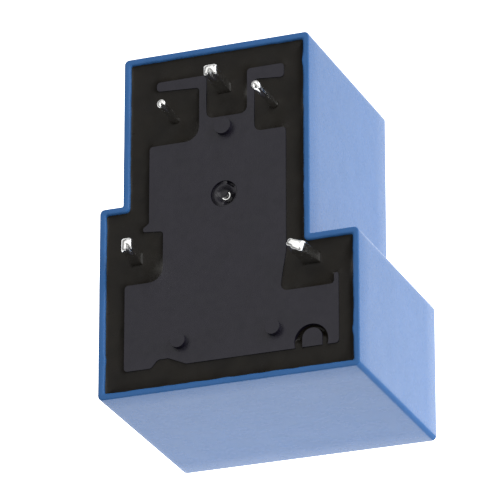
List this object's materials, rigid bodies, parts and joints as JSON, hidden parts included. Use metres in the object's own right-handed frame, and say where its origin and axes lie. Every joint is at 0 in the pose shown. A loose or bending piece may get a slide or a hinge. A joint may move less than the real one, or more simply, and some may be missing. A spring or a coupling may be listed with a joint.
{
  "type": "pcb power relay",
  "caption": "Sealed T-shaped power relay for a circuit board: blue cover, potted base with tinned pins and standoffs, and a hinged armature that switches one changeover contact inside.",
  "frame": {"origin": "centre of the case's length and width, on its closed face; the relay lies on that face as in the picture, with the pins up", "axes": "+Z along the pins, from the closed face towards the board; +Y towards the narrow end and the common terminal; +X across the case, towards the terminal that rests closed"},
  "size_m": [0.0264, 0.035, 0.0256],
  "materials": {
    "cover_plastic": "satin moulded blue",
    "base_plastic": "matte moulded dark grey",
    "resin": "cured black resin",
    "bobbin_plastic": "natural moulded",
    "enamelled_wire": "enamelled copper wire",
    "soft_iron": "zinc plated",
    "spring_bronze": "rolled bronze strip",
    "contact_silver": "silver alloy",
    "rivet_steel": "plain",
    "tinned_copper": "hot tinned",
    "solder": "solder"
  },
  "bodies": {
    "housing": {"cover": "cover_plastic", "base": "base_plastic", "potting": "resin", "bobbin": "bobbin_plastic", "coil_winding": "enamelled_wire", "core": "soft_iron", "yoke": "soft_iron", "com_rivets": "rivet_steel", "com_terminal": "tinned_copper", "no_terminal": "tinned_copper", "no_contact": "contact_silver", "nc_terminal": "tinned_copper", "nc_contact": "contact_silver", "coil_pin_left": "tinned_copper", "coil_pin_right": "tinned_copper", "coil_lead_left": "enamelled_wire", "coil_lead_right": "enamelled_wire", "coil_solder_joints": "solder"},
    "armature": {"armature": "soft_iron", "contact_spring": "spring_bronze", "moving_contact": "contact_silver", "armature_rivets": "rivet_steel"}
  },
  "joints": [
    {"name": "armature_hinge", "type": "hinge", "parent": "housing", "child": "armature", "pos_m": [-0.0005, 0.0108, 0.00481], "axis": [-1, 0, 0], "range_deg": [0, 3.14], "stiffness_Nm_per_rad": 0.02, "springref_deg": -28.65, "deforming": ["contact_spring"]}
  ]
}
